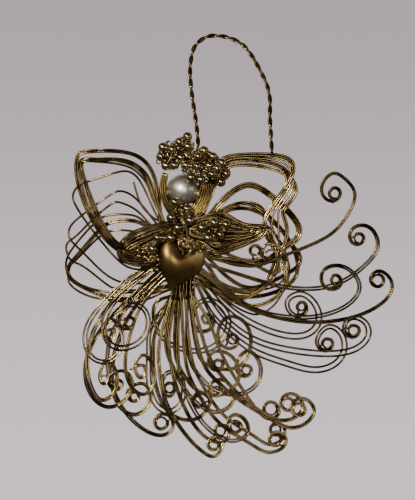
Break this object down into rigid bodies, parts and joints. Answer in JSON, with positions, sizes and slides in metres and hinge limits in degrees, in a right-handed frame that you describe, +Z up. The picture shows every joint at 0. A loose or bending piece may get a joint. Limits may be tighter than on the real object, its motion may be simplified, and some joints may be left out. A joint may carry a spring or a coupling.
{
  "type": "wire angel ornament",
  "caption": "Hanging angel figure bent from brass craft wire, with curled skirt wires, looped wings, a pearl head, a heart charm, small beads and a twisted wire loop to hang it by.",
  "frame": {"origin": "inside top of the hanging loop, where a hook bears", "axes": "+Z up, +X to the viewer's right, -Y towards the viewer"},
  "size_m": [0.0991, 0.0206, 0.1269],
  "materials": {
    "wire": "aged brass craft wire, dark olive brown with bright gold highlights",
    "fine_wire": "fine golden brown binding wire",
    "bead": "polished dark antique gold beads",
    "pearl": "silver grey pearl lustre",
    "charm": "brushed antique gold, darker at the edge"
  },
  "bodies": {
    "root": {"collar_beads": "bead", "curl_behind_wing_1": "wire", "curl_behind_wing_2": "wire", "halo_beads": "bead", "hanger_loop": "wire", "head_pearl": "pearl", "heart_charm": "charm", "left_hair_wires": "fine_wire", "left_sleeve": "wire", "left_sleeve_beads": "bead", "right_hair_wires": "fine_wire", "right_sleeve": "wire", "right_sleeve_beads": "bead", "tendril_centre_1": "wire", "tendril_centre_2": "wire", "tendril_centre_3": "wire", "tendril_centre_4": "wire", "tendril_centre_5": "wire", "tendril_centre_6": "wire", "tendril_centre_7": "wire", "tendril_centre_8": "wire", "tendril_hem_1": "wire", "tendril_hem_2": "wire", "tendril_hem_3": "wire", "tendril_hem_4": "wire", "tendril_hem_5": "wire", "tendril_hem_6": "wire", "tendril_hem_7": "wire", "tendril_hem_8": "wire", "tendril_left_1": "wire", "tendril_left_2": "wire", "tendril_left_3": "wire", "tendril_left_4": "wire", "tendril_left_5": "wire", "tendril_left_6": "wire", "tendril_right_1": "wire", "tendril_right_2": "wire", "tendril_right_3": "wire", "tendril_right_4": "wire", "tendril_right_5": "wire", "tendril_right_6": "wire", "tendril_right_7": "wire", "waist_binding": "fine_wire", "wing_left_1": "wire", "wing_left_2": "wire", "wing_left_3": "wire", "wing_left_4": "wire", "wing_left_5": "wire", "wing_left_6": "wire", "wing_left_7": "wire", "wing_left_8": "wire", "wing_right_1": "wire", "wing_right_2": "wire", "wing_right_3": "wire", "wing_right_4": "wire", "wing_right_5": "wire", "wing_right_6": "wire", "wing_right_7": "wire", "wing_right_8": "wire", "wing_right_9": "wire"}
  },
  "joints": []
}
